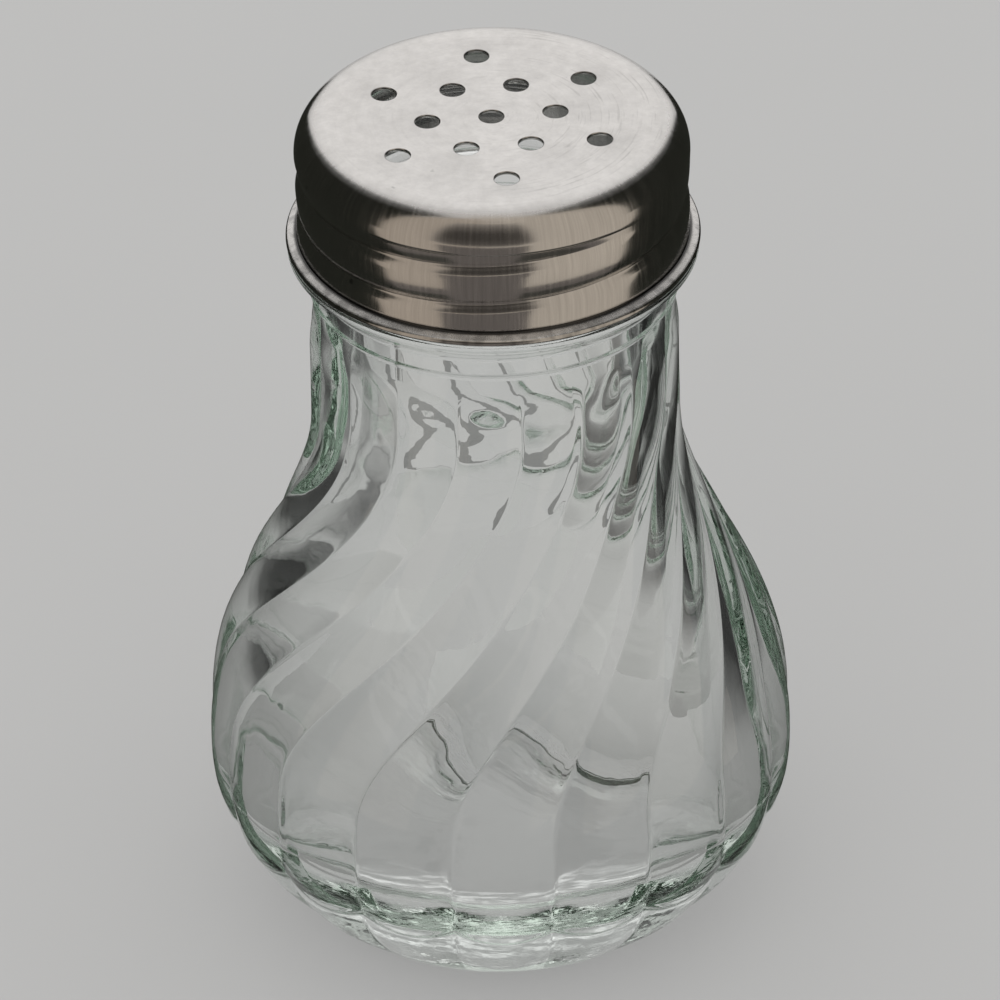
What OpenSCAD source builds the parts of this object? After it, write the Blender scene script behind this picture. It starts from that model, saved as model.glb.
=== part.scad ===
// Glass salt shaker: a jar with swirled lobes, a perforated steel screw cap and a sealing ring under it.
// Millimetres, +Z up, origin at the centre of the ring that the jar rests on. The front is towards -Y.

/* [Jar] */
// Height of the glass, from the table to the rim
jar_h = 98.6; // [94:0.2:115]
// Outside diameter of the ring that the jar rests on
foot_d = 43.2; // [40:0.2:48]
// Inside diameter of that ring
foot_bore_d = 35; // [28:0.5:38]
// Height of the plain ring below the heel
foot_h = 1; // [0.6:0.1:2]
// Height of the hollow under the base, at its middle
push_up_h = 1.6; // [0.8:0.1:2.4]
// Largest diameter, over the crests of the lobes
belly_d = 66; // [60:0.2:72]
// Height of that largest diameter
belly_z = 20.5; // [18:0.5:26]
// Diameter of the neck, over the crests of the lobes
neck_d = 40.6; // [40:0.2:43]
// Height at which the neck turns straight
neck_z = 63; // [56:0.5:66]
// Glass thickness at the belly, from a crest to the inside
glass_wall = 4; // [3:0.1:5]
// Thickness of the floor
floor_t = 5; // [4:0.2:7]
// Diameter of the flat part of the floor
floor_d = 28; // [20:0.5:32]
// Diameter of the straight bore through the neck
bore_d = 32; // [26:0.2:33]

/* [Lobes] */
// Number of lobes around the jar
lobe_count = 18; // [12:1:24]
// Depth of the creases between the lobes, at the belly
lobe_depth = 0.7; // [0.4:0.1:1.6]
// Turn of the lobes between the belly and the neck, in degrees
lobe_twist = 58; // [-80:1:80]
// Height at which the lobes start to turn
twist_from_z = 26; // [22:0.5:32]
// Height at which they run straight up again
twist_to_z = 71; // [60:0.5:71]
// Height of the lower end of each lobe, at its crest
lobe_end_z = 12; // [11:0.2:13]
// Rise of that rounded end, from the crest to the crease
lobe_end_rise = 1.5; // [0.5:0.1:2]
// Step from the lobes in to the heel
heel_step = 0.25; // [0.1:0.05:0.6]
// Height of the lobes' rounded upper ends
lobe_top_h = 5; // [3:0.2:6]
// Height of the plain neck between the lobes and the mould line
plain_neck_h = 2.2; // [1:0.1:3]

/* [Neck finish] */
// Diameter of the glass between the turns of its thread
finish_d = 38.8; // [37:0.2:39.6]
// Rounding of the rim's outer edge
rim_round = 1; // [0.4:0.1:1.2]
// Gap from the cap's lower edge down to the collar
collar_gap = 0.5; // [0.4:0.1:1.5]
// How far the collar stands out from the glass inside the cap
collar_w = 2.9; // [1.5:0.1:3.2]
// Thickness of the collar at its rounded edge
collar_t = 0.8; // [0.6:0.1:1.4]
// Height of the flare below that edge
flare_h = 2.2; // [1.2:0.1:3]
// How far the plain band below the flare stands out from the glass inside the cap
band_w = 0.55; // [0.4:0.05:0.8]
// Height of that band, down to the mould line
band_h = 2.5; // [1.5:0.1:3.5]
// Step at the mould line, from the band in to the neck
mould_step = 0.2; // [0.1:0.05:0.3]
// Rise of the thread in one turn
thread_lead = 4.8; // [4.2:0.1:5]
// Turns of the thread ridge on the glass
ridge_turns = 1.3; // [1:0.05:1.5]
// Height of the ridge
ridge_h = 1.15; // [0.8:0.05:1.3]
// Width of the ridge at its crest
ridge_crest_w = 0.9; // [0.5:0.1:1.1]
// Width of the ridge at its root
ridge_root_w = 2.2; // [1.8:0.1:2.4]
// Clearance between the glass thread and the cap's rolled one
thread_gap = 0.35; // [0.3:0.05:0.45]

/* [Cap] */
// Height of the cap, from its lower edge to its top
cap_h = 14.8; // [14.4:0.1:17]
// Thickness of the sheet steel
sheet_t = 0.4; // [0.3:0.05:0.5]
// Outside radius of the rounded shoulder
shoulder_r = 4; // [3:0.1:4.4]
// Depth of the rolled thread groove
groove_depth = 1.1; // [0.9:0.05:1.2]
// Width of the groove at the skirt's surface
groove_w = 1.5; // [1.2:0.1:1.6]
// Width of the groove at its bottom
groove_bottom_w = 0.6; // [0.4:0.1:0.8]
// Distance from the shoulder down to the groove's upper end
groove_drop = 1; // [0.8:0.1:1.4]
// Distance from the hem up to the groove's lower end
groove_lift = 0.45; // [0.45:0.05:1.5]
// Angle of the groove's upper end, from the front towards +X
groove_end_a = 50; // [-180:1:180]
// Overhang of the hem beyond the skirt
hem_w = 1.15; // [0.9:0.05:1.6]
// Gap in the hem's fold, between its two sheets
hem_fold = 0.2; // [0.1:0.05:0.4]
// Fillet between the skirt and the hem
hem_fillet = 0.25; // [0.1:0.05:0.3]

/* [Holes] */
// Diameter of each hole
hole_d = 2.7; // [1.5:0.1:3.5]
// Holes in each of the two rings
ring_holes = 6; // [4:1:8]
// Diameter of the inner ring of holes
inner_ring_d = 13.8; // [11:0.2:15]
// Diameter of the outer ring of holes
outer_ring_d = 25; // [22:0.2:27]
// Angle of the inner ring's first hole, from +X
inner_ring_a = 7; // [0:1:60]

/* [Sealing ring] */
// Thickness of the sealing ring
seal_t = 1; // [0.8:0.1:1.4]
// Width of the sealing ring
seal_w = 2.1; // [1.5:0.1:2.3]
// Distance from the glass's outside, at the rim, in to the sealing ring
seal_inset = 1.1; // [0.9:0.1:1.4]
// Clearance between the sealing ring and the cap's shoulder
seal_gap = 0.3; // [0.2:0.05:0.4]

/* [Hidden] */
$fn = 96;

// Heights
cap_under_z = jar_h + seal_t;
cap_top_z = cap_under_z + sheet_t;
cap_low_z = cap_top_z - cap_h;
shoulder_z = cap_top_z - shoulder_r;
hem_t = 2 * sheet_t + hem_fold;
hem_top_z = cap_low_z + hem_t;
collar_top_z = cap_low_z - collar_gap;
band_top_z = collar_top_z - collar_t / 2 - flare_h;
mould_z = band_top_z - band_h;
lobe_top_z = mould_z - plain_neck_h;

// Radii
belly_r = belly_d / 2;
neck_r = neck_d / 2;
foot_r = foot_d / 2;
foot_bore_r = foot_bore_d / 2;
bore_r = bore_d / 2;
finish_r = finish_d / 2;
collar_r = finish_r + collar_w;
band_r = finish_r + band_w;
plain_r = band_r - mould_step;
ridge_r = finish_r + ridge_h;
skirt_in_r = max(ridge_r, finish_r + groove_depth) + thread_gap;
skirt_r = skirt_in_r + sheet_t;
cap_flat_r = skirt_r - shoulder_r;
hem_mid_r = skirt_r + hem_w - hem_t / 2;

// Crease depth as a share of the radius, the same from the belly to the neck
relief = lobe_depth / belly_r;

// How full the outline of the heel, the shoulder and the inside of the heel are
heel_power = 2.4;
shoulder_power = 1.1;
floor_power = 2.6;

// Helix of the rolled groove: the angles of its two ends, from the front, and its height at an angle
groove_to_z = shoulder_z - groove_drop;
groove_from_z = hem_top_z + groove_lift;
groove_to_a = groove_end_a + 360;
groove_from_a = groove_to_a - 360 * (groove_to_z - groove_from_z) / thread_lead;
groove_taper_a = 35;
function groove_z(a) = groove_to_z - thread_lead * (groove_to_a - a) / 360;

// Half widths of the groove, and of the bead that it raises inside the cap, at a radius
groove_slope = (groove_w - groove_bottom_w) / 2 / groove_depth;
bead_offset = sheet_t * sqrt(1 + groove_slope * groove_slope);
bead_tip_r = skirt_in_r - groove_depth;
function groove_half_w(r) = groove_w / 2 + groove_slope * (r - skirt_r);
function bead_half_w(r) = groove_half_w(r) + bead_offset;

// Helix of the glass ridge, which lies just above the bead when the cap is tight
ridge_slope = (ridge_root_w - ridge_crest_w) / 2 / ridge_h;
function ridge_half_w(r) = ridge_crest_w / 2 + ridge_slope * (ridge_r - r);
function thread_half_w(r) = bead_half_w(r) + ridge_half_w(r);
ridge_over_bead = max(thread_half_w(ridge_r), thread_half_w(bead_tip_r)) + thread_gap;
ridge_to_z = shoulder_z - ridge_crest_w / 2;
ridge_to_a = groove_to_a - 360 * (groove_to_z + ridge_over_bead - ridge_to_z) / thread_lead;
ridge_from_a = ridge_to_a - 360 * ridge_turns;
ridge_taper_a = 30;
function ridge_z(a) = groove_z(a) + ridge_over_bead;

// How finely curved stretches are divided
lobe_steps = 6;
heel_steps = 4;
lobe_ring_step = 2.8;
lobe_top_steps = 6;
outline_steps = 14;
flare_steps = 6;
helix_step_a = 10;

// How far a cutting shape reaches past a face, and how far one solid is sunk in the next
past = 0.2;
sink = 0.2;

function smooth(t) = let (c = min(1, max(0, t))) c * c * (3 - 2 * c);

// Share of the way from the neck out to the belly, for t from 0 at the belly to 1 at the neck
function shoulder_share(t) = (1 + cos(180 * pow(t, shoulder_power))) / 2;

// Radius of the lobes' crests, below their rounded upper ends
function crest_r(z) =
    z < belly_z ? belly_r - (belly_r - foot_r) * pow((belly_z - z) / belly_z, heel_power)
    : z < neck_z ? neck_r + (belly_r - neck_r) * shoulder_share((z - belly_z) / (neck_z - belly_z))
    : neck_r;

// Radius of the inside, from the floor up to the neck
function inside_r(z) =
    let (belly_in_r = belly_r - glass_wall)
    z < belly_z
    ? belly_in_r - (belly_in_r - floor_d / 2) * pow((belly_z - z) / (belly_z - floor_t), floor_power)
    : bore_r + (belly_in_r - bore_r) * shoulder_share((z - belly_z) / (neck_z - belly_z));

// Turn of the lobes at a height, in degrees
function twist_at(z) = lobe_twist * smooth((z - twist_from_z) / (twist_to_z - twist_from_z));

// Radius of the lobed glass: u goes across a lobe from -0.5 to 0.5, t along its upper end from 0 to 1
function lobe_r(z, u) =
    let (t = min(1, max(0, 1 - (lobe_top_z - z) / lobe_top_h)))
    let (crest = plain_r + (crest_r(z) - plain_r) * sqrt(1 - t * t))
    let (lobe = crest - crest_r(z) * relief * 4 * u * u)
    t == 0 ? lobe : max(lobe, plain_r - lobe_depth * (1 - t));

// Radius of the heel below the lobes, whose scallops fade out towards the foot
function heel_r(z, u) = (crest_r(z) - heel_step) * (1 - relief * smooth(2 * z / lobe_end_z) * 4 * u * u);

// One ring of points round the jar, whose height is bowed up across each lobe
function jar_ring(z, bow, on_heel) = [
    for (i = [0 : lobe_count * lobe_steps - 1])
        let (u = (i % lobe_steps) / lobe_steps - 0.5)
        let (h = z + bow * 4 * u * u)
        let (a = 360 * (floor(i / lobe_steps) + u) / lobe_count + twist_at(h))
        let (r = on_heel ? heel_r(h, u) : lobe_r(h, u))
        [r * sin(a), -r * cos(a), h]
];

// One section of a helix, from a profile of radius and height pairs that runs clockwise
function helix_section(profile, a, z, shift) = [
    for (p = profile)
        [(p[0] + shift) * sin(a), -(p[0] + shift) * cos(a), z + p[1]]
];

// Angles of the sections along a helix
function helix_angles(from_a, to_a) =
    let (n = ceil((to_a - from_a) / helix_step_a))
    [for (i = [0 : n]) from_a + (to_a - from_a) * i / n];

// Share of a thread's full depth at an angle, from 0 at its two ends to 1
function taper(a, from_a, to_a, over_a) = smooth(min(a - from_a, to_a - a) / over_a);

// Solid through a list of rings that all have the same number of points
module skin(rings) {
    n = len(rings[0]);
    last = len(rings) - 1;
    sides = [
        for (i = [0 : last - 1])
            for (j = [0 : n - 1])
                let (low = i * n)
                let (high = low + n)
                let (k = (j + 1) % n)
                for (face = [[low + j, high + j, high + k], [low + j, high + k, low + k]])
                    face
    ];
    low_end = [for (j = [0 : n - 1]) j];
    high_end = [for (j = [n - 1 : -1 : 0]) last * n + j];
    polyhedron([for (ring = rings) for (p = ring) p], concat([low_end], sides, [high_end]));
}

// Heel, belly and neck, with the lobes
module lobed_glass() {
    low_z = lobe_end_z + lobe_end_rise + heel_step;
    high_z = lobe_top_z - lobe_top_h;
    belly_steps = ceil((high_z - low_z) / lobe_ring_step);
    heel_ring_h = (lobe_end_z - heel_step - foot_h) / heel_steps;
    belly_ring_h = (high_z - low_z) / belly_steps;
    top_a = 90 / lobe_top_steps;
    skin(concat(
        [for (i = [0 : heel_steps - 1]) jar_ring(foot_h + i * heel_ring_h, 0, true)],
        [jar_ring(lobe_end_z, lobe_end_rise, true)],
        [jar_ring(lobe_end_z + heel_step / 2, lobe_end_rise, false)],
        [for (i = [0 : belly_steps]) jar_ring(low_z + i * belly_ring_h, 0, false)],
        [for (i = [1 : lobe_top_steps]) jar_ring(high_z + lobe_top_h * sin(i * top_a), 0, false)],
        [jar_ring(mould_z + sink, 0, false)]
    ));
}

// Ring that the jar rests on
module foot() {
    cylinder(r = foot_r, h = foot_h + sink);
}

// Neck inside the cap, with its rounded rim, and the flared collar and plain band below it
module finish() {
    edge_z = collar_top_z - collar_t / 2;
    edge_r = collar_r - collar_t / 2;
    rotate_extrude() {
        translate([0, mould_z])
            square([finish_r - rim_round, jar_h - mould_z]);
        translate([0, mould_z])
            square([finish_r, jar_h - rim_round - mould_z]);
        translate([finish_r - rim_round, jar_h - rim_round])
            circle(rim_round);
        translate([edge_r, edge_z])
            circle(collar_t / 2);
        polygon(concat(
            [[0, mould_z], [band_r, mould_z]],
            [for (i = [0 : flare_steps])
                let (share = i / flare_steps)
                [band_r + (collar_r - band_r) * share * share, band_top_z + flare_h * share]],
            [[edge_r, edge_z], [edge_r, collar_top_z], [0, collar_top_z]]
        ));
    }
}

// Thread ridge on the glass, which sinks into it at both ends
module thread_ridge() {
    root_r = finish_r - 2 * sink;
    profile = [
        [root_r, ridge_half_w(root_r)],
        [ridge_r, ridge_half_w(ridge_r)],
        [ridge_r, -ridge_half_w(ridge_r)],
        [root_r, -ridge_half_w(root_r)]
    ];
    skin([
        for (a = helix_angles(ridge_from_a, ridge_to_a))
            let (share = taper(a, ridge_from_a, ridge_to_a, ridge_taper_a))
            helix_section(profile, a, ridge_z(a), -(ridge_h + sink) * (1 - share))
    ]);
}

// Space inside the jar
module inside() {
    rotate_extrude()
        polygon(concat(
            [[0, floor_t]],
            [for (i = [0 : outline_steps])
                let (z = floor_t + (belly_z - floor_t) * i / outline_steps)
                [inside_r(z), z]],
            [for (i = [1 : outline_steps])
                let (z = belly_z + (neck_z - belly_z) * i / outline_steps)
                [inside_r(z), z]],
            [[bore_r, jar_h + past], [0, jar_h + past]]
        ));
}

// Hollow under the base
module push_up() {
    rotate_extrude()
        polygon(concat(
            [[0, -past], [foot_bore_r, -past]],
            [for (i = [outline_steps : -1 : 0])
                let (share = i / outline_steps)
                [foot_bore_r * share, push_up_h * (1 - share * share)]]
        ));
}

module glass_jar() {
    color("lightcyan", 0.5)
        difference() {
            union() {
                lobed_glass();
                foot();
                finish();
                thread_ridge();
            }
            inside();
            push_up();
        }
}

// Flat ring between the rim and the cap, chamfered to clear the cap's shoulder
module sealing_ring() {
    edge_r = finish_r - seal_inset;
    seal_r = edge_r - seal_w;
    edge_out = max(0, edge_r - cap_flat_r);
    edge_z = shoulder_z + sqrt(pow(shoulder_r - sheet_t, 2) - edge_out * edge_out) - seal_gap;
    color("whitesmoke")
        rotate_extrude()
            polygon([
                [seal_r, jar_h],
                [edge_r, jar_h],
                [edge_r, edge_z],
                [min(edge_r, cap_flat_r) - seal_gap, cap_under_z],
                [seal_r, cap_under_z]
            ]);
}

// Half section of a cap with a rounded shoulder, down to a lower edge
module cap_section(r, top_z, low_z) {
    round_r = r - cap_flat_r;
    translate([0, low_z])
        square([cap_flat_r, top_z - low_z]);
    translate([0, low_z])
        square([r, top_z - round_r - low_z]);
    translate([cap_flat_r, top_z - round_r])
        circle(round_r);
}

// Half section of the hem: the sheet turned outwards, then folded back under itself
module hem_section() {
    difference() {
        union() {
            translate([skirt_in_r, hem_top_z - sheet_t])
                square([hem_mid_r - skirt_in_r, sheet_t]);
            translate([skirt_r, cap_low_z])
                square([hem_mid_r - skirt_r, hem_t]);
            translate([hem_mid_r, cap_low_z + hem_t / 2])
                circle(hem_t / 2);
        }
        translate([skirt_r - past, cap_low_z + sheet_t])
            square([hem_mid_r - skirt_r + past, hem_fold]);
    }
    difference() {
        translate([skirt_r, hem_top_z])
            square(hem_fillet);
        translate([skirt_r + hem_fillet, hem_top_z + hem_fillet])
            circle(hem_fillet);
    }
}

// Solid along the groove's helix: the groove itself, or the bead when the offset is a sheet wide
module groove(tip_r, outer_r, offset_w) {
    profile = [
        [outer_r, groove_half_w(outer_r) + offset_w],
        [outer_r, -groove_half_w(outer_r) - offset_w],
        [tip_r, -groove_half_w(tip_r) - offset_w],
        [tip_r, groove_half_w(tip_r) + offset_w]
    ];
    skin([
        for (a = helix_angles(groove_from_a, groove_to_a))
            let (share = taper(a, groove_from_a, groove_to_a, groove_taper_a))
            helix_section(profile, a, groove_z(a), (groove_depth + past) * (1 - share))
    ]);
}

// Holes in the cap's top: one in the middle, and two rings set half a step apart
module holes() {
    step_a = 360 / ring_holes;
    low_z = cap_under_z - past;
    hole_h = sheet_t + 2 * past;
    translate([0, 0, low_z])
        cylinder(d = hole_d, h = hole_h);
    for (ring = [[inner_ring_d, inner_ring_a], [outer_ring_d, inner_ring_a + step_a / 2]])
        for (i = [0 : ring_holes - 1])
            rotate(ring[1] + i * step_a)
                translate([ring[0] / 2, 0, low_z])
                    cylinder(d = hole_d, h = hole_h);
}

module screw_cap() {
    color("silver")
        difference() {
            rotate_extrude() {
                cap_section(skirt_r, cap_top_z, hem_top_z - sheet_t);
                hem_section();
            }
            groove(skirt_r - groove_depth, skirt_r + past, 0);
            difference() {
                rotate_extrude()
                    cap_section(skirt_in_r, cap_under_z, cap_low_z - past);
                groove(bead_tip_r, skirt_r, bead_offset);
            }
            holes();
        }
}

glass_jar();
sealing_ring();
screw_cap();
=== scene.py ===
"""Looks of a glass salt shaker: a swirl-lobed jar of clear glass, its brushed steel screw cap and a sealing ring."""
import math

import bmesh
import bpy
import numpy as np
from mathutils import Matrix, Vector, geometry


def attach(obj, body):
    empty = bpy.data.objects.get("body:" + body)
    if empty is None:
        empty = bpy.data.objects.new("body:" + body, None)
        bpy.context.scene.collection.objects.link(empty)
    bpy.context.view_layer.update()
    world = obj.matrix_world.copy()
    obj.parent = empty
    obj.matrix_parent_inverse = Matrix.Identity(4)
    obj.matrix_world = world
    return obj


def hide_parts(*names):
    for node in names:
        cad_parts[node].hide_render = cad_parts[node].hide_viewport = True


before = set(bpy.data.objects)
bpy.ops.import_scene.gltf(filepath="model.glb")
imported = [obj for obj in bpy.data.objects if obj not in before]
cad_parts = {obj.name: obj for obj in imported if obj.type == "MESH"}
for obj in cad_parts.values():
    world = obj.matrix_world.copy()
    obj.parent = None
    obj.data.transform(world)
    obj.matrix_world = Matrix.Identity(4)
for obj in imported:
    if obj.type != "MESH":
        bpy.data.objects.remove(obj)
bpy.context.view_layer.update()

MM = 0.001

# Jar, as the CAD part has it: radii and heights over the table
foot_r = 21.6 * MM
foot_bore_r = 17.5 * MM
foot_h = 1 * MM
foot_round = 0.5 * MM
foot_inner_deg = 220
foot_outer_deg = 345
push_up_h = 1.6 * MM
belly_r = 32.98 * MM
belly_z = 20.5 * MM
neck_r = 20.3 * MM
neck_z = 63 * MM
jar_h = 98.6 * MM
glass_wall = 4 * MM
floor_t = 5 * MM
floor_r = 14 * MM
floor_corner_h = 0.15 * MM
floor_corner_share = 0.985
bore_r = 16 * MM
heel_power = 2.4
shoulder_power = 1.1
floor_power = 2.6

# Lobes
lobe_count = 18
lobe_depth = 0.65 * MM
lobe_twist = math.radians(58)
twist_from_z = 26 * MM
twist_to_z = 71 * MM
lobe_end_z = 12 * MM
lobe_end_rise = 1.5 * MM
lobe_end_fade_h = 7 * MM
heel_step = 0.25 * MM
heel_step_h = 0.7 * MM
lobe_top_z = 77.4 * MM
lobe_top_h = 5 * MM
crease_round = 0.015
inner_lobe_share = 0.1

# Neck finish
finish_r = 19.4 * MM
finish_fillet = 0.25 * MM
rim_round = 1 * MM
rim_inner_round = 0.6 * MM
mould_z = 79.6 * MM
mould_step = 0.2 * MM
bead_h = 0.22 * MM
bead_half_w = 0.4 * MM
band_r = 19.95 * MM
band_top_z = 82.1 * MM
plain_r = band_r - mould_step
collar_r = 22.3 * MM
collar_t = 0.8 * MM
collar_top_z = 84.7 * MM
thread_lead = 4.8 * MM
ridge_h = 1.15 * MM
ridge_crest_w = 0.9 * MM
ridge_root_w = 2.2 * MM
ridge_from_a = math.radians(-151.2)
ridge_to_a = math.radians(316.8)
ridge_taper_a = math.radians(30)
ridge_over_groove = 1.79 * MM
seam_a = math.radians(-32)
seam_h = 0.1 * MM
seam_half_w = 0.22 * MM

# Cap
cap_top_z = 100 * MM
cap_low_z = 85.2 * MM
sheet_t = 0.4 * MM
skirt_r = 21.3 * MM
shoulder_round = 4 * MM
groove_depth = 0.62 * MM
groove_round = 0.2 * MM
groove_upper_w = 1.3 * MM
groove_lower_w = 0.42 * MM
bead_depth = 1.1 * MM
bead_round = 0.4 * MM
bead_w = 0.45 * MM
groove_to_z = 95 * MM
groove_from_a = math.radians(-216.25)
groove_to_a = math.radians(410)
groove_taper_a = math.radians(35)
hem_t = 0.85 * MM
hem_out_r = 22.45 * MM
hem_fillet = 0.25 * MM
hem_crease = 0.12 * MM
hem_crease_h = 0.1 * MM
hem_start_out = 0.06 * MM
hem_start_down = 0.03 * MM
hem_round = 0.35 * MM
hem_slope_deg = 62
hole_r = 1.35 * MM
hole_lip = 0.18 * MM
ring_holes = 6
inner_ring_r = 6.9 * MM
outer_ring_r = 12.5 * MM
inner_ring_a = math.radians(7)
skirt_in_r = skirt_r - sheet_t
cap_flat_r = skirt_r - shoulder_round
shoulder_z = cap_top_z - shoulder_round
under_z = cap_top_z - sheet_t
hem_top_z = cap_low_z + hem_t
skirt_low_z = hem_top_z + hem_fillet

# Section of a hole's punched wall, drawn in at the top: radius and height
hole_wall = (
    (hole_r + hole_lip, cap_top_z),
    (hole_r + 0.08 * MM, cap_top_z - 0.015 * MM),
    (hole_r + 0.02 * MM, cap_top_z - 0.05 * MM),
    (hole_r, cap_top_z - 0.12 * MM),
    (hole_r, under_z + 0.02 * MM),
    (hole_r + 0.03 * MM, under_z),
    (hole_r + hole_lip, under_z),
)

# How finely the meshes are divided
lobe_steps = 14
heel_rows = 14
step_rows = 8
lobe_top_rows = 14
inside_rows = 90
cap_steps = 360
hole_steps = 40
ring_step = 0.9 * MM
neck_step = 0.08 * MM
thread_step = 0.15 * MM
centre_share = 0.06
disc_margin = 0.5 * MM
weld_gap = 0.0005 * MM

# Camera of the photograph
camera_spot = Vector((0.309, -640.60, 497.657)) * MM
camera_down = math.radians(34.951)
camera_roll = math.radians(-0.85)
camera_lens = 253.4
camera_sensor = 36

# Studio
floor_half = 4
card_rows = 13
card_columns = 25
card_lift = 1 * MM
ray_kinds = ("camera", "diffuse", "glossy", "transmission", "volume_scatter", "shadow")


def smooth(t):
    """Eases from 0 to 1."""
    c = np.clip(t, 0, 1)
    return c * c * (3 - 2 * c)


def arc(centre_r, centre_z, radius, from_deg, to_deg, steps):
    """Points of an arc in the section's plane, both ends included."""
    angles = np.radians(np.linspace(from_deg, to_deg, steps + 1))
    return [(centre_r + radius * math.cos(a), centre_z + radius * math.sin(a)) for a in angles]


def line(start, end, steps):
    """Points from start up to end, without the start."""
    return [tuple(np.add(start, np.subtract(end, start) * i / steps)) for i in range(1, steps + 1)]


def circle(x, y, radius, steps):
    """Points once round a circle in the plane."""
    turn = 2 * math.pi / steps
    return [(x + radius * math.cos(turn * i), y + radius * math.sin(turn * i)) for i in range(steps)]


def mesh_piece(name, points, faces, body, node, slot, material):
    """A closed smooth mesh that stands for a CAD node and rides on its body."""
    mesh = bpy.data.meshes.new(name)
    mesh.from_pydata([tuple(p) for p in points], [], faces)
    tidy = bmesh.new()
    tidy.from_mesh(mesh)
    bmesh.ops.remove_doubles(tidy, verts=tidy.verts, dist=weld_gap)
    bmesh.ops.recalc_face_normals(tidy, faces=tidy.faces)
    tidy.to_mesh(mesh)
    tidy.free()
    mesh.polygons.foreach_set("use_smooth", [True] * len(mesh.polygons))
    mesh.materials.append(material)
    piece = bpy.data.objects.new(name, mesh)
    bpy.context.scene.collection.objects.link(piece)
    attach(piece, body)
    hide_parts(node)


def grid_faces(rows, columns, first=0):
    """Quads between rows of points that each go once round the axis."""
    return [
        (
            first + i * columns + j,
            first + i * columns + (j + 1) % columns,
            first + (i + 1) * columns + (j + 1) % columns,
            first + (i + 1) * columns + j,
        )
        for i in range(rows - 1)
        for j in range(columns)
    ]


# Glass jar


def shoulder_share(t):
    """Falls from 1 at the belly to 0 at the neck."""
    return (1 + np.cos(math.pi * np.clip(t, 0, 1) ** shoulder_power)) / 2


def crest_r(z):
    """Radius over the crests of the lobes."""
    heel = belly_r - (belly_r - foot_r) * np.clip((belly_z - z) / belly_z, 0, 1) ** heel_power
    shoulder = neck_r + (belly_r - neck_r) * shoulder_share((z - belly_z) / (neck_z - belly_z))
    return np.where(z < belly_z, heel, shoulder)


def inside_r(z):
    """Radius of the inside, from the floor up to the neck."""
    belly_in_r = belly_r - glass_wall
    low_share = np.clip((belly_z - z) / (belly_z - floor_t), 0, 1) ** floor_power
    shoulder = bore_r + (belly_in_r - bore_r) * shoulder_share((z - belly_z) / (neck_z - belly_z))
    return np.where(z < belly_z, belly_in_r - (belly_in_r - floor_r) * low_share, shoulder)


def twist_at(z):
    """How far the lobes have turned at a height."""
    return lobe_twist * smooth((z - twist_from_z) / (twist_to_z - twist_from_z))


def across_lobe(u):
    """0 on a lobe's crest and 1 in the crease beside it, which is slightly rounded."""
    to_crease = np.sqrt((0.5 - np.abs(u)) ** 2 + crease_round**2) - crease_round
    return 4 * (0.5 - to_crease) ** 2


def lobe_r(z, u):
    """Radius of the lobed glass, which runs softly into the plain neck."""
    lobe = crest_r(z) * (1 - lobe_depth / belly_r * across_lobe(u))
    return lobe + (plain_r - lobe) * smooth(1 - (lobe_top_z - z) / lobe_top_h)


def heel_r(z, u):
    """Radius of the heel below the lobes, whose scallops fade out towards the foot."""
    relief = lobe_depth / belly_r * smooth(2 * z / lobe_end_z)
    return (crest_r(z) - heel_step) * (1 - relief * across_lobe(u))


def seam_r(angle, r):
    """How far the two upright mould seams stand out."""
    across = np.sin(angle - seam_a) * r
    return seam_h * np.exp(-((across / seam_half_w) ** 2))


def bead_r(z):
    """How far the rounded lines over and under the neck's band stand out."""
    near = np.minimum(np.abs(z - mould_z), np.abs(z - band_top_z)) / bead_half_w
    return bead_h * np.sqrt(np.clip(1 - near * near, 0, 1))


def groove_z(angle):
    """Height of the cap's rolled groove at an angle."""
    return groove_to_z - thread_lead * (groove_to_a - angle) / (2 * math.pi)


def thread_r(angle, z):
    """How far the thread ridge stands out of the finish."""
    out = np.zeros_like(angle)
    side = (ridge_root_w - ridge_crest_w) / 2
    for turn in (-1, 0, 1):
        a = angle + 2 * math.pi * turn
        middle_z = groove_z(a) + ridge_over_groove
        share = smooth(np.minimum(a - ridge_from_a, ridge_to_a - a) / ridge_taper_a)
        height = smooth((ridge_root_w / 2 - np.abs(z - middle_z)) / side)
        out = np.maximum(out, ridge_h * share * height)
    return out


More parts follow.
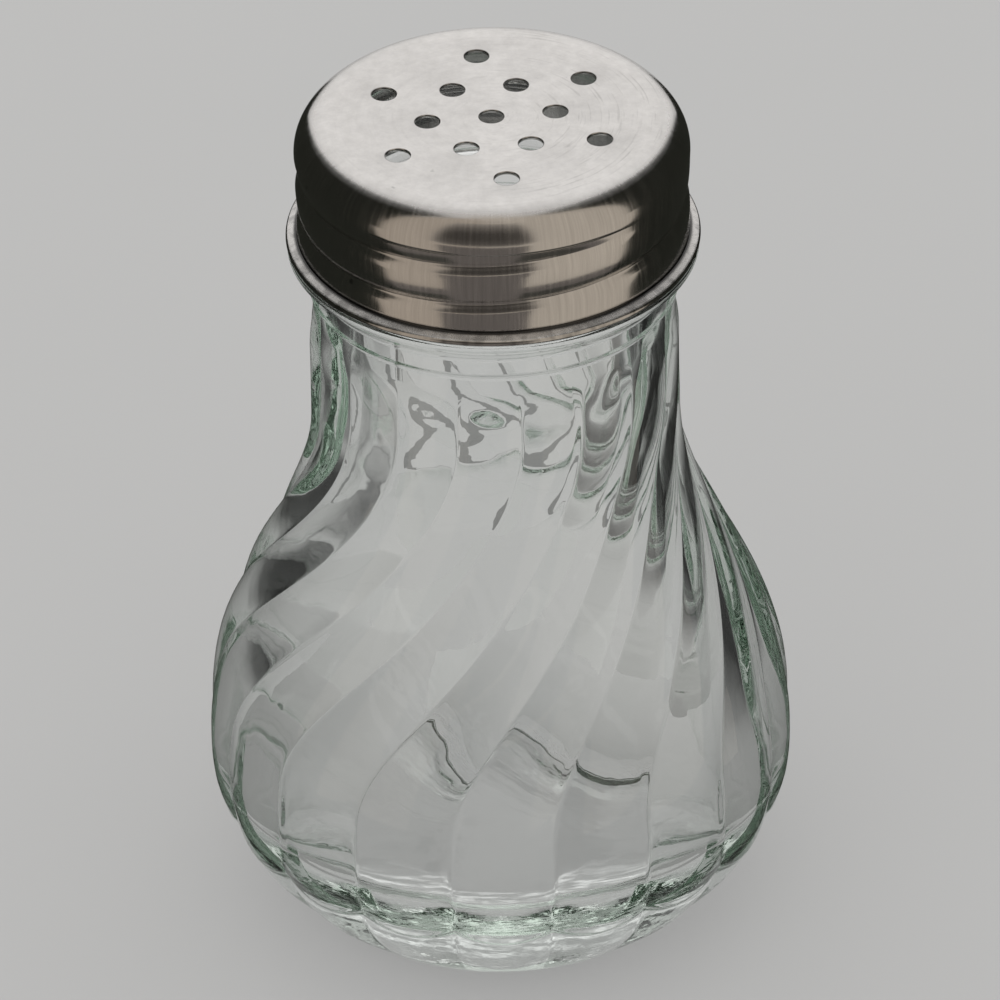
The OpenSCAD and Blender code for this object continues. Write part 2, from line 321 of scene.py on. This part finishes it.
def jar_mesh():
    """Points and faces of the jar, from the hollow under its base up over the rim and down to the floor."""
    lobe_share = np.sin(np.linspace(-0.5, 0.5, lobe_steps, endpoint=False) * math.pi) / 2
    u = np.tile(lobe_share, lobe_count)
    base_a = 2 * math.pi * (np.repeat(np.arange(lobe_count), lobe_steps) + u) / lobe_count
    rows = []

    def add(r, z, twist):
        a = base_a + twist
        rows.append(np.stack([r * np.sin(a), -r * np.cos(a), z + 0 * a], 1))

    def add_round(section, twist=lobe_twist):
        for r, z in section:
            add(r + 0 * u, z, twist)

    def add_lobed(z, bow, on_lobe):
        h = z + bow * 4 * u * u
        r = heel_r(h, u) * (1 - on_lobe) + lobe_r(h, u) * on_lobe
        add(r, h, twist_at(h))

    # Hollow under the base, and the foot
    dome = [(foot_bore_r * s, push_up_h * (1 - s * s)) for s in np.linspace(centre_share, 0.96, 12)]
    add_round(dome, 0)
    add_round(arc(foot_bore_r + foot_round, foot_round, foot_round, foot_inner_deg, 270, 5), 0)
    add_round(arc(foot_r - foot_round, foot_round, foot_round, 270, foot_outer_deg, 6), 0)

    # Heel with its scalloped step, belly, and the lobes' upper ends
    for z in np.linspace(foot_h, lobe_end_z - heel_step_h, heel_rows):
        add_lobed(z, lobe_end_rise * smooth(z / lobe_end_z), 0)
    for share in np.linspace(0, 1, step_rows + 1)[1:]:
        add_lobed(lobe_end_z + heel_step_h * (share - 0.5), lobe_end_rise, smooth(share))
    fade_from_z = lobe_end_z + heel_step_h
    high_z = lobe_top_z - lobe_top_h
    for z in np.linspace(fade_from_z, high_z, int((high_z - fade_from_z) / ring_step)):
        add_lobed(z, lobe_end_rise * (1 - smooth((z - fade_from_z) / lobe_end_fade_h)), 1)
    for share in np.sin(np.linspace(0, math.pi / 2, lobe_top_rows + 1))[1:]:
        add_lobed(high_z + lobe_top_h * share, 0, 1)

    # Plain neck, mould line, band and flared collar
    edge_z = collar_top_z - collar_t / 2
    edge_r = collar_r - collar_t / 2
    flare_z = band_top_z + bead_half_w
    for z in np.arange(lobe_top_z, flare_z, neck_step)[1:]:
        r = plain_r + mould_step * smooth((z - mould_z) / mould_step + 0.5) + bead_r(z)
        add(r + seam_r(base_a + lobe_twist, r), z, lobe_twist)
    flare = [
        (band_r + (collar_r - band_r) * s * s, flare_z + (edge_z - flare_z) * s)
        for s in np.linspace(0.1, 0.95, 10)
    ]
    add_round(flare)
    add_round(arc(edge_r, edge_z, collar_t / 2, 0, 90, 8))
    root_r = finish_r + finish_fillet
    add_round(line((edge_r, collar_top_z), (root_r, collar_top_z), 3))
    add_round(arc(root_r, collar_top_z + finish_fillet, finish_fillet, 270, 180, 4))

    # Finish with its thread, and the rim
    thread_low_z = collar_top_z + 2 * finish_fillet
    thread_high_z = jar_h - rim_round
    for z in np.arange(thread_low_z, thread_high_z, thread_step):
        add(finish_r + thread_r(base_a + lobe_twist, z), z, lobe_twist)
    add_round(arc(finish_r - rim_round, jar_h - rim_round, rim_round, 0, 90, 8))
    add_round(arc(bore_r + rim_inner_round, jar_h - rim_inner_round, rim_inner_round, 90, 180, 6))

    # Bore, inside and floor, where the lobes show faintly
    add_round(line((bore_r, jar_h - rim_inner_round), (bore_r, lobe_top_z), 10))
    for z in [*np.linspace(lobe_top_z, floor_t, inside_rows)[1:-1], floor_t + floor_corner_h]:
        fade = smooth((lobe_top_z - z) / lobe_top_h) * smooth((z - floor_t) / (belly_z - floor_t))
        r = inside_r(z) - inner_lobe_share * lobe_depth * fade * (across_lobe(u) - 0.5)
        add(r, z, twist_at(z))
    for share in [1, floor_corner_share, *np.linspace(0.95, centre_share, 10)]:
        add(floor_r * share + 0 * u, floor_t, 0)

    columns = len(u)
    points = np.concatenate(rows + [np.array([[0, 0, push_up_h], [0, 0, floor_t]])])
    faces = grid_faces(len(rows), columns)
    under, top = len(points) - 2, len(points) - 1
    last = (len(rows) - 1) * columns
    faces += [(under, (j + 1) % columns, j) for j in range(columns)]
    faces += [(top, last + j, last + (j + 1) % columns) for j in range(columns)]
    return points, faces


# Screw cap


def groove_share(angle, z, upper_w, lower_w, bottom_round):
    """Share of the rolled groove's full depth at a point of the skirt. Its two flanks fade over their own widths."""
    out = np.zeros_like(angle)
    for turn in (-1, 0, 1):
        a = angle + 2 * math.pi * turn
        up = z - groove_z(a)
        share = smooth(np.minimum(a - groove_from_a, groove_to_a - a) / groove_taper_a)
        across = np.sqrt(up**2 + bottom_round**2) - bottom_round
        out = np.maximum(out, share * np.exp(-across / np.where(up > 0, upper_w, lower_w)))
    return out


def hole_centres():
    """The middle hole and two rings of holes set half a step apart."""
    step_a = 2 * math.pi / ring_holes
    rings = [(inner_ring_r, inner_ring_a), (outer_ring_r, inner_ring_a + step_a / 2)]
    around = [
        (r * math.cos(a + i * step_a), r * math.sin(a + i * step_a))
        for r, a in rings
        for i in range(ring_holes)
    ]
    return [(0, 0)] + around


def perforated_disc(rim, z, up):
    """Points and triangles of a flat disc inside a rim circle, with the holes left open."""
    open_r = hole_r + hole_lip
    loops = [rim] + [circle(x, y, open_r, hole_steps) for x, y in hole_centres()]
    flat = [Vector(p) / MM for loop in loops for p in loop]
    edges = []
    for loop in loops:
        first = len(edges)
        edges += [(first + i, first + (i + 1) % len(loop)) for i in range(len(loop))]
    made = geometry.delaunay_2d_cdt(flat, edges, [], 1, 1e-6)
    points, triangles = made[0], made[2]
    centres = [Vector(c) / MM for c in hole_centres()]
    reach = 1.001 * open_r / MM
    kept = []
    for face in triangles:
        if not any(all((points[i] - c).length < reach for i in face) for c in centres):
            kept.append(tuple(face) if up else tuple(reversed(face)))
    return [(p.x * MM, p.y * MM, z) for p in points], kept


def cap_mesh():
    """Points and faces of the cap: one sheet, from its perforated top round the hem and back up inside."""
    angle = np.linspace(0, 2 * math.pi, cap_steps, endpoint=False)
    disc_r = cap_flat_r - disc_margin
    hem_mid_r = hem_out_r - hem_t / 2
    skirt_rows = int((shoulder_z - skirt_low_z) / thread_step)
    rows = []

    def add(r, z):
        rows.append(np.stack([r * np.sin(angle), -r * np.cos(angle), z + 0 * angle], 1))

    def add_round(section):
        for r, z in section:
            add(r + 0 * angle, z)

    # Outside: top's edge, shoulder, skirt with the rolled groove
    add_round([(disc_r, cap_top_z)])
    add_round(arc(cap_flat_r, shoulder_z, shoulder_round, 90, 0, 20))
    for z in np.linspace(shoulder_z, skirt_low_z, skirt_rows)[1:]:
        dip = groove_depth * groove_share(angle, z, groove_upper_w, groove_lower_w, groove_round)
        add(skirt_r - dip - hem_crease * math.exp((skirt_low_z - z) / hem_crease_h), z)

    # Hem: the sheet sloped outwards, then folded back under itself
    edge_round = arc(hem_out_r - hem_round, cap_low_z + hem_round, hem_round, hem_slope_deg, -90, 14)
    slope_top = (skirt_r + hem_start_out, skirt_low_z - hem_start_down)
    add_round([slope_top])
    add_round(line(slope_top, edge_round[0], 5)[:-1])
    add_round(edge_round)
    edge_r = skirt_r + sheet_t / 2
    add_round(line(edge_round[-1], (edge_r, cap_low_z), 2))
    add_round(arc(edge_r, cap_low_z + sheet_t / 2, sheet_t / 2, 270, 90, 6)[1:])
    fold_z = cap_low_z + hem_t / 2
    add_round(line((edge_r, cap_low_z + sheet_t), (hem_mid_r, cap_low_z + sheet_t), 2))
    add_round(arc(hem_mid_r, fold_z, hem_t / 2 - sheet_t, -90, 90, 4)[1:])

    # Inside, with the bead that the groove raises
    low_z = hem_top_z - sheet_t
    add_round(line((hem_mid_r, low_z), (skirt_in_r + hem_fillet, low_z), 3))
    add_round(arc(skirt_in_r + hem_fillet, low_z + hem_fillet, hem_fillet, 270, 180, 4)[1:])
    for z in np.linspace(low_z + hem_fillet, shoulder_z, skirt_rows)[1:]:
        add(skirt_in_r - bead_depth * groove_share(angle, z, bead_w, bead_w, bead_round), z)
    add_round(arc(cap_flat_r, shoulder_z, shoulder_round - sheet_t, 0, 90, 12)[1:])
    add_round([(disc_r, under_z)])

    points = [tuple(p) for row in rows for p in row]
    faces = grid_faces(len(rows), cap_steps)
    rim = [tuple(p[:2]) for p in rows[0]]
    for z, up in ((cap_top_z, True), (under_z, False)):
        disc_points, triangles = perforated_disc(rim, z, up)
        first = len(points)
        points += disc_points
        faces += [tuple(first + i for i in face) for face in triangles]

    # Punched walls of the holes
    for x, y in hole_centres():
        first = len(points)
        for r, z in hole_wall:
            points += [(*p, z) for p in circle(x, y, r, hole_steps)]
        faces += grid_faces(len(hole_wall), hole_steps, first)
    return points, faces


# Materials


class Nodes:
    """Short hand for building one material's node tree."""

    def __init__(self, material):
        material.use_nodes = True
        self.tree = material.node_tree
        self.shader = self.tree.nodes["Principled BSDF"]
        self.output = self.tree.nodes["Material Output"]

    def add(self, kind, **settings):
        node = self.tree.nodes.new(kind)
        for key, value in settings.items():
            setattr(node, key, value)
        return node

    def link(self, source, target):
        self.tree.links.new(source, target)

    def place(self):
        """The point on the object itself."""
        return self.add("ShaderNodeTexCoord").outputs["Object"]

    def axes(self, vector):
        """The three parts of a vector."""
        node = self.add("ShaderNodeSeparateXYZ")
        self.link(vector, node.inputs["Vector"])
        return node.outputs["X"], node.outputs["Y"], node.outputs["Z"]

    def flat(self, x, y):
        """A vector from two parts, without the third."""
        node = self.add("ShaderNodeCombineXYZ")
        self.link(x, node.inputs["X"])
        self.link(y, node.inputs["Y"])
        return node.outputs["Vector"]

    def math(self, operation, a, b=None):
        node = self.add("ShaderNodeMath", operation=operation)
        for socket, value in zip(node.inputs, (a, b)):
            if isinstance(value, (int, float)):
                socket.default_value = value
            elif value is not None:
                self.link(value, socket)
        return node.outputs[0]

    def radius(self, x, y):
        """Distance from the upright axis."""
        return self.math("SQRT", self.math("ADD", self.math("POWER", x, 2), self.math("POWER", y, 2)))

    def noise(self, vector, scale, detail=3, roughness=0.5):
        node = self.add("ShaderNodeTexNoise")
        node.inputs["Scale"].default_value = scale
        node.inputs["Detail"].default_value = detail
        node.inputs["Roughness"].default_value = roughness
        self.link(vector, node.inputs["Vector"])
        return node.outputs["Fac"]

    def spread(self, value, low, high, from_low=0.0, from_high=1.0):
        """Maps a value's range to another one, and keeps it inside."""
        node = self.add("ShaderNodeMapRange")
        ends = (("From Min", from_low), ("From Max", from_high), ("To Min", low), ("To Max", high))
        for name, number in ends:
            node.inputs[name].default_value = number
        self.link(value, node.inputs["Value"])
        return node.outputs["Result"]

    def ramp(self, value, low, high):
        """Blends two colours by a value from 0 to 1."""
        node = self.add("ShaderNodeValToRGB")
        node.color_ramp.elements[0].color = (*low, 1)
        node.color_ramp.elements[1].color = (*high, 1)
        self.link(value, node.inputs["Fac"])
        return node.outputs["Color"]

    def bump(self, height, strength, distance):
        node = self.add("ShaderNodeBump")
        node.inputs["Strength"].default_value = strength
        node.inputs["Distance"].default_value = distance
        self.link(height, node.inputs["Height"])
        self.link(node.outputs["Normal"], self.shader.inputs["Normal"])


def glass_material():
    """Clear pressed glass: faintly green where it is thick, with the slight waviness of the mould."""
    material = bpy.data.materials.new("clear_glass")
    nodes = Nodes(material)
    shader = nodes.shader
    shader.inputs["Base Color"].default_value = (1, 1, 1, 1)
    shader.inputs["Transmission Weight"].default_value = 1
    shader.inputs["IOR"].default_value = 1.515
    place = nodes.place()
    dull_spots = nodes.spread(nodes.noise(place, scale=90), low=0, high=0.03, from_low=0.45, from_high=0.8)
    nodes.link(dull_spots, shader.inputs["Roughness"])

    # Waves all over, and wrinkles near the foot
    height = nodes.axes(place)[2]
    near_foot = nodes.spread(height, low=1, high=0, from_low=6 * MM, from_high=16 * MM)
    wrinkles = nodes.math("MULTIPLY", nodes.noise(place, scale=420, detail=2), near_foot)
    waves = nodes.noise(place, scale=160, detail=2)
    relief = nodes.math("ADD", waves, nodes.math("MULTIPLY", wrinkles, 2.2))
    nodes.bump(relief, strength=0.45, distance=0.08 * MM)

    absorption = nodes.add("ShaderNodeVolumeAbsorption")
    absorption.inputs["Color"].default_value = (0.5, 0.76, 0.57, 1)
    absorption.inputs["Density"].default_value = 7.5
    nodes.link(absorption.outputs["Volume"], nodes.output.inputs["Volume"])
    return material


def steel_material():
    """Stainless sheet: brushed upright round the skirt, satin with faint scratches on top, with a painted lighter
    top and painted shade inside and in the crease over the hem.
    """
    material = bpy.data.materials.new("brushed_steel")
    nodes = Nodes(material)
    shader = nodes.shader
    shader.inputs["Anisotropic"].default_value = 0.3
    tangent = nodes.add("ShaderNodeTangent", direction_type="RADIAL", axis="Z")
    nodes.link(tangent.outputs["Tangent"], shader.inputs["Tangent"])
    place = nodes.place()
    x, y, z = nodes.axes(place)
    angle = nodes.math("ARCTAN2", x, y)
    away = nodes.radius(x, y)

    # Grain: long upright streaks on the skirt, and rings on top
    unrolled = nodes.flat(nodes.math("MULTIPLY", angle, skirt_r), nodes.math("MULTIPLY", z, 0.04))
    upright = nodes.noise(unrolled, scale=2600, detail=4, roughness=0.6)
    rings = nodes.flat(nodes.math("MULTIPLY", angle, 0.0012), away)
    turned = nodes.spread(nodes.noise(rings, scale=2200, detail=3, roughness=0.55), low=0.4, high=0.6)
    facing_up = nodes.axes(nodes.add("ShaderNodeNewGeometry").outputs["Normal"])[2]
    on_top = nodes.spread(facing_up, low=0, high=1, from_low=0.8, from_high=0.98)
    grain = nodes.add("ShaderNodeMix", data_type="FLOAT")
    nodes.link(on_top, grain.inputs["Factor"])
    nodes.link(upright, grain.inputs["A"])
    nodes.link(turned, grain.inputs["B"])
    streaks = grain.outputs["Result"]

    # Colour: streaks and soft clouds
    cloudy = nodes.math("MULTIPLY", nodes.noise(place, scale=120), 0.3)
    brushed = nodes.spread(streaks, low=0.25, high=0.75, from_low=0.3, from_high=0.7)
    tone = nodes.math("ADD", nodes.math("MULTIPLY", brushed, 0.7), cloudy)

    # Painted light: the top is lighter, as it catches more light. It is also mottled, and has arcs of fine scratches
    # towards the right
    arcs = nodes.flat(nodes.math("MULTIPLY", angle, 0.0008), away)
    lines = nodes.noise(arcs, scale=2600, detail=2)
    scratches = nodes.spread(lines, low=0, high=-0.3, from_low=0.58, from_high=0.7)
    to_right = nodes.spread(x, low=0.15, high=1, from_low=-4 * MM, from_high=8 * MM)
    scratches = nodes.math("MULTIPLY", scratches, to_right)
    patches = nodes.noise(place, scale=700, detail=5, roughness=0.7)
    # Painted light: lifts the top's tone by 0.06 to 0.3, in mottled patches
    mottled_top_light = nodes.spread(patches, low=0.06, high=0.3, from_low=0.35, from_high=0.65)
    top_light_and_marks = nodes.math("ADD", mottled_top_light, scratches)
    tone = nodes.math("ADD", tone, nodes.math("MULTIPLY", on_top, top_light_and_marks))
    steel = nodes.ramp(tone, low=(0.44, 0.425, 0.41), high=(0.84, 0.82, 0.80))

    # Painted shade: darker inside the cap and in the crease over the hem; also specks on the hem and a few on top
    # Painted shade: faces that look in towards the axis are made up to half as bright
    outward = nodes.add("ShaderNodeVectorMath", operation="DOT_PRODUCT")
    nodes.link(nodes.add("ShaderNodeTexCoord").outputs["Normal"], outward.inputs[0])
    nodes.link(nodes.flat(x, y), outward.inputs[1])
    inside = nodes.spread(outward.outputs["Value"], low=1, high=0.5, from_low=0, from_high=-4 * MM)
    # Painted shade: a dark line along the crease over the hem
    from_crease = nodes.math("ABSOLUTE", nodes.math("SUBTRACT", z, skirt_low_z))
    crease = nodes.spread(from_crease, low=0.1, high=1, from_low=0.07 * MM, from_high=0.18 * MM)
    on_hem = nodes.spread(z, low=1, high=0, from_low=skirt_low_z - 0.1 * MM, from_high=skirt_low_z)
    dirt = nodes.spread(nodes.noise(place, scale=700, detail=2), low=0, high=0.4, from_low=0.45, from_high=0.65)
    specks = nodes.math("MULTIPLY", on_hem, dirt)
    pits = nodes.spread(nodes.noise(place, scale=420, detail=2), low=0, high=0.6, from_low=0.74, from_high=0.79)
    worn = nodes.math("SUBTRACT", 1, nodes.math("MAXIMUM", specks, pits))
    # Painted shade and real wear together: specks and pits, times the inside shade and the crease shade
    shade = nodes.math("MULTIPLY", worn, nodes.math("MULTIPLY", inside, crease))
    worn_and_shaded = nodes.add("ShaderNodeMix", data_type="RGBA", blend_type="MULTIPLY")
    worn_and_shaded.inputs["Factor"].default_value = 1
    nodes.link(steel, worn_and_shaded.inputs["A"])
    nodes.link(shade, worn_and_shaded.inputs["B"])
    nodes.link(worn_and_shaded.outputs["Result"], shader.inputs["Base Color"])

    # Polished on the skirt, satin on top
    satin = nodes.math("MULTIPLY", on_top, 0.2)
    polish = nodes.spread(streaks, low=0.1, high=0.2, from_low=0.3, from_high=0.7)
    nodes.link(nodes.math("ADD", polish, satin), shader.inputs["Roughness"])
    nodes.link(nodes.spread(on_top, low=1, high=0.7), shader.inputs["Metallic"])
    nodes.bump(streaks, strength=0.12, distance=0.02 * MM)
    return material


def seal_material():
    """Soft white plastic with a slight moulded grain."""
    material = bpy.data.materials.new("seal_plastic")
    nodes = Nodes(material)
    shader = nodes.shader
    grain = nodes.noise(nodes.place(), scale=900, detail=4)
    colour = nodes.ramp(grain, low=(0.80, 0.79, 0.76), high=(0.87, 0.865, 0.85))
    nodes.link(colour, shader.inputs["Base Color"])
    nodes.link(nodes.spread(grain, low=0.42, high=0.6), shader.inputs["Roughness"])
    shader.inputs["Subsurface Weight"].default_value = 0.1
    shader.inputs["Subsurface Radius"].default_value = (MM, MM, MM)
    nodes.bump(grain, strength=0.2, distance=0.03 * MM)
    return material


def floor_material():
    """Plain pale sheet that is partly lit from below, so that the object's shadow on it stays light, with specks of
    light painted on it under the jar's front.
    """
    material = bpy.data.materials.new("floor_sheet")
    material.cycles.emission_sampling = "NONE"
    nodes = Nodes(material)
    shader = nodes.shader
    place = nodes.place()
    colour = nodes.ramp(nodes.noise(place, scale=14), low=(0.29, 0.29, 0.287), high=(0.31, 0.31, 0.307))
    nodes.link(colour, shader.inputs["Base Color"])
    shader.inputs["Roughness"].default_value = 0.9
    shader.inputs["Specular IOR Level"].default_value = 0.1
    shader.inputs["Emission Color"].default_value = (0.27, 0.27, 0.268, 1)
    ray = nodes.add("ShaderNodeLightPath")
    seen = nodes.math("ADD", ray.outputs["Is Camera Ray"], ray.outputs["Is Glossy Ray"])
    seen = nodes.math("ADD", seen, ray.outputs["Is Transmission Ray"])
    seen = nodes.math("MINIMUM", seen, 1)

    # Painted light: bright specks painted on the floor under the jar's front, standing in for the light that the
    # thick base gathers there
    x, y, _ = nodes.axes(place)
    away = nodes.radius(x, y)
    inner = nodes.spread(away, low=0, high=1, from_low=11 * MM, from_high=13 * MM)
    outer = nodes.spread(away, low=1, high=0, from_low=19 * MM, from_high=21.5 * MM)
    front = nodes.spread(y, low=1, high=0, from_low=-9 * MM, from_high=-5 * MM)
    grain = nodes.noise(place, scale=520, detail=3, roughness=0.6)
    specks = nodes.spread(grain, low=0.2, high=2.4, from_low=0.46, from_high=0.72)
    ring = nodes.math("MULTIPLY", inner, outer)
    painted_caustic_specks = nodes.math("MULTIPLY", ring, nodes.math("MULTIPLY", front, specks))
    nodes.link(nodes.math("MULTIPLY", seen, nodes.math("ADD", painted_caustic_specks, 1)), shader.inputs["Emission Strength"])
    return material


def card_material(name, colour):
    """Card of an even brightness, for what the steel and the glass show of the studio."""
    material = bpy.data.materials.new(name)
    material.cycles.emission_sampling = "NONE"
    shader = Nodes(material).shader
    shader.inputs["Base Color"].default_value = (0, 0, 0, 1)
    shader.inputs["Roughness"].default_value = 1
    shader.inputs["Specular IOR Level"].default_value = 0
    shader.inputs["Emission Color"].default_value = (*colour, 1)
    shader.inputs["Emission Strength"].default_value = 1
    return material


def sheet_material():
    """Sheet that the glass shows behind it: darker towards each side, darkest half way round, with soft edges."""
    material = card_material("side_sheet", (1, 1, 0.98))
    nodes = Nodes(material)
    x, y, _ = nodes.axes(nodes.place())
    turn = nodes.math("ABSOLUTE", nodes.math("ARCTAN2", x, y))
    away = nodes.math("ADD", nodes.radius(x, y), nodes.math("MULTIPLY", x, 0.18))
    grey = nodes.spread(turn, low=0.5, high=0.28, from_low=math.radians(14), from_high=math.radians(60))
    start = nodes.spread(turn, low=0, high=1, from_low=math.radians(20), from_high=math.radians(36))
    end = nodes.spread(turn, low=1, high=0, from_low=math.radians(70), from_high=math.radians(90))
    far = nodes.spread(away, low=0, high=0.94, from_low=72 * MM, from_high=102 * MM)
    dark = nodes.math("MULTIPLY", nodes.math("MULTIPLY", start, end), far)
    level = nodes.math("MULTIPLY", grey, nodes.math("SUBTRACT", 1, dark))
    nodes.link(level, nodes.shader.inputs["Emission Strength"])
    return material


# Studio


def stage_mesh(name, points, faces, material, seen_in=ray_kinds):
    """A sheet of the studio, seen only in some kinds of rays."""
    mesh = bpy.data.meshes.new(name)
    mesh.from_pydata(points, [], faces)
    mesh.materials.append(material)
    obj = bpy.data.objects.new(name, mesh)
    bpy.context.scene.collection.objects.link(obj)
    for ray in ray_kinds:
        setattr(obj, "visible_" + ray, ray in seen_in)


def make_floor():
    half = floor_half
    corners = [(-half, -half, 0), (half, -half, 0), (half, half, 0), (-half, half, 0)]
    stage_mesh("floor", corners, [(0, 1, 2, 3)], floor_material())


def make_card(name, radius, low, high, material, seen_in, lift=card_lift):
    """A card bent round the cap and seen only in some rays. Its lower and upper edge are each given by
    their height above the horizon and the turns from the front at which they start and end, in degrees.
    Where it would reach below the floor, it lies just over it."""
    points = []
    for height, start, end in np.linspace(low, high, card_rows):
        e = math.radians(height)
        reach = radius if e > -0.01 else min(radius, (cap_top_z - lift) / math.sin(-e))
        for a in np.radians(np.linspace(start, end, card_columns)):
            flat = reach * math.cos(e)
            points.append((flat * math.sin(a), -flat * math.cos(a), cap_top_z + reach * math.sin(e)))
    faces = [
        (first, first + 1, first + card_columns + 1, first + card_columns)
        for k in range(card_rows - 1)
        for first in range(k * card_columns, (k + 1) * card_columns - 1)
    ]
    stage_mesh(name, points, faces, material, seen_in)


def make_bar(name, half_width, y, low_z, high_z, material, seen_in):
    """An upright strip across the studio."""
    corners = [(-half_width, y, low_z), (half_width, y, low_z), (half_width, y, high_z), (-half_width, y, high_z)]
    stage_mesh(name, corners, [(0, 1, 2, 3)], material, seen_in)


def make_lamp(name, spot, aim, width, height, level, colour, glossy=True):
    """A soft box whose face has that brightness, where 1 is white."""
    lamp = bpy.data.lights.new(name, "AREA")
    lamp.shape = "RECTANGLE"
    lamp.size, lamp.size_y = width, height
    lamp.energy = level * math.pi * width * height
    lamp.color = colour
    obj = bpy.data.objects.new(name, lamp)
    obj.location = spot
    obj.rotation_euler = (Vector(aim) - Vector(spot)).to_track_quat("-Z", "Y").to_euler()
    obj.visible_glossy = glossy
    bpy.context.scene.collection.objects.link(obj)


def make_world(colour, strength):
    world = bpy.data.worlds.new("studio")
    bpy.context.scene.world = world
    world.use_nodes = True
    background = world.node_tree.nodes["Background"]
    background.inputs["Color"].default_value = (*colour, 1)
    background.inputs["Strength"].default_value = strength


def make_camera():
    camera = bpy.data.cameras.new("photo_camera")
    camera.lens = camera_lens
    camera.sensor_width = camera_sensor
    camera.clip_start = 10 * MM
    obj = bpy.data.objects.new("photo_camera", camera)
    turn = Matrix.Rotation(math.pi / 2 - camera_down, 4, "X") @ Matrix.Rotation(camera_roll, 4, "Z")
    obj.matrix_world = Matrix.Translation(camera_spot) @ turn
    bpy.context.scene.collection.objects.link(obj)
    bpy.context.scene.camera = obj


mesh_piece("jar_glass", *jar_mesh(), "jar", "glass_jar", "clear_glass", glass_material())
mesh_piece("cap_steel", *cap_mesh(), "cap", "screw_cap", "brushed_steel", steel_material())
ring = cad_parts["sealing_ring"]
ring.data.materials.clear()
ring.data.materials.append(seal_material())

make_camera()
make_floor()
black = card_material("black_card", (0.02, 0.021, 0.017))
dark = card_material("dark_card", (0.062, 0.06, 0.052))
brown = card_material("brown_card", (0.145, 0.13, 0.12))
warm = card_material("warm_card", (0.53, 0.475, 0.405))
tan = card_material("tan_card", (0.455, 0.395, 0.33))
shine = ("glossy",)
through = ("transmission",)

# Edges of the cards, in degrees: turns from the front, and heights above the horizon
warm_left, warm_middle, warm_right = -64, -5, 80
right_flag, left_flag = 79, 297
front_left, front_right = -29, 18
lowest, horizon, overhead = -70, -4, 98

# Dark front that the cap mirrors, softer towards its edges: level, lower and upper edge, and how much wider it is
fronts = (
    (0.36, -5, 73, 4.5),
    (0.27, -4, 66, 3.5),
    (0.19, -3, 60, 2.5),
    (0.125, -1, 53, 1.5),
    (0.085, 4, 45, 0.7),
    (0.062, 14, 38, 0),
)
corner_h, low_corner, high_corner = 7, 7, 9
front_radius, front_step = 0.998, 0.004
for i, (level, low, high, wider) in enumerate(fronts):
    shade = card_material("front_shade_%d" % i, (level, 0.9 * level, 0.8 * level))
    start, end, radius = front_left - wider, front_right + wider, front_radius - front_step * i
    from_h, to_h = low + corner_h, high - corner_h
    foot = (low, start + low_corner, end - low_corner)
    head = (high, start + high_corner, end - high_corner)
    make_card("front_low_%d" % i, radius, foot, (from_h, start, end), shade, shine)
    make_card("front_middle_%d" % i, radius, (from_h, start, end), (to_h, start, end), shade, shine)
    make_card("front_high_%d" % i, radius, (to_h, start, end), head, shade, shine)

# Warm room, dark sides and the floor in front, all mirrored by the cap: radius, lower and upper edge, material
cards = {
    "warm_high_left": (1.0, (horizon, warm_left, warm_middle), (overhead, warm_left, warm_middle), tan),
    "warm_high_right": (1.0, (horizon, warm_middle, warm_right), (overhead, warm_middle, warm_right), warm),
    "right_flag_middle": (0.96, (horizon, right_flag, 152), (30, right_flag, 141), black),
    "right_flag_high": (0.96, (30, right_flag, 141), (60, right_flag, 128), black),
    "right_flag_top": (0.96, (60, right_flag, 128), (75, 76, 112), black),
    "left_flag_middle": (0.96, (horizon, 206, left_flag), (30, 219, left_flag), black),
    "left_flag_high": (0.96, (30, 219, left_flag), (60, 234, 295), black),
    "left_flag_top": (0.96, (60, 234, 295), (75, 248, 292), black),
    "warm_low_left": (0.16, (-42, warm_left, warm_middle), (-3, warm_left, warm_middle), tan),
    "warm_low_right": (0.16, (-42, warm_middle, warm_right), (-3, warm_middle, warm_right), warm),
    "near_shade": (0.2, (-50, warm_left, warm_right), (-42, warm_left, warm_right), brown),
    "near_dark": (0.2, (lowest, warm_left, warm_right), (-50, warm_left, warm_right), dark),
    "right_flag_low": (0.15, (lowest, right_flag, 168), (-2, right_flag, 160), black),
    "left_flag_low": (0.15, (lowest, 192, left_flag), (-2, 200, left_flag), black),
}
for name, (radius, low, high, material) in cards.items():
    make_card(name, radius, low, high, material, shine)
shade_low, shade_high = (lowest, -28, front_right), (-6, -28, front_right)
make_card("camera_shade", 0.155, shade_low, shade_high, brown, shine, lift=1.5 * MM)

# What the glass shows behind it
sheet = sheet_material()
make_card("right_sheet", 0.15, (lowest, 50, 168), (45, 50, 168), sheet, through)
make_card("left_sheet", 0.15, (lowest, 192, 310), (45, 192, 310), sheet, through)
grey = card_material("grey_card", (0.27, 0.27, 0.265))
make_card("front_sheet", 0.3, (-18, -50, 50), (60, -50, 50), grey, through)
bar = card_material("bar_card", (0.2, 0.2, 0.195))
make_bar("back_bar", 45 * MM, 62 * MM, 19.4 * MM, 21.4 * MM, bar, through)

make_world(colour=(1.0, 0.99, 0.98), strength=0.75)
make_lamp("back_box", spot=(0, 0.65, 0.56), aim=(0, 0, 0.1), width=1.0, height=0.8, level=0.24,
          colour=(1, 0.99, 0.98))
make_lamp("front_box", spot=(-0.2, -0.55, 0.75), aim=(0, 0, 0.08), width=0.6, height=0.35, level=0.6,
          colour=(1, 0.97, 0.94), glossy=False)

bpy.context.scene.view_settings.view_transform = "Standard"

# Thick glass passes light on many times before it leaves
light_paths = bpy.context.scene.cycles
light_paths.max_bounces = 36
light_paths.glossy_bounces = 24
light_paths.transmission_bounces = 36
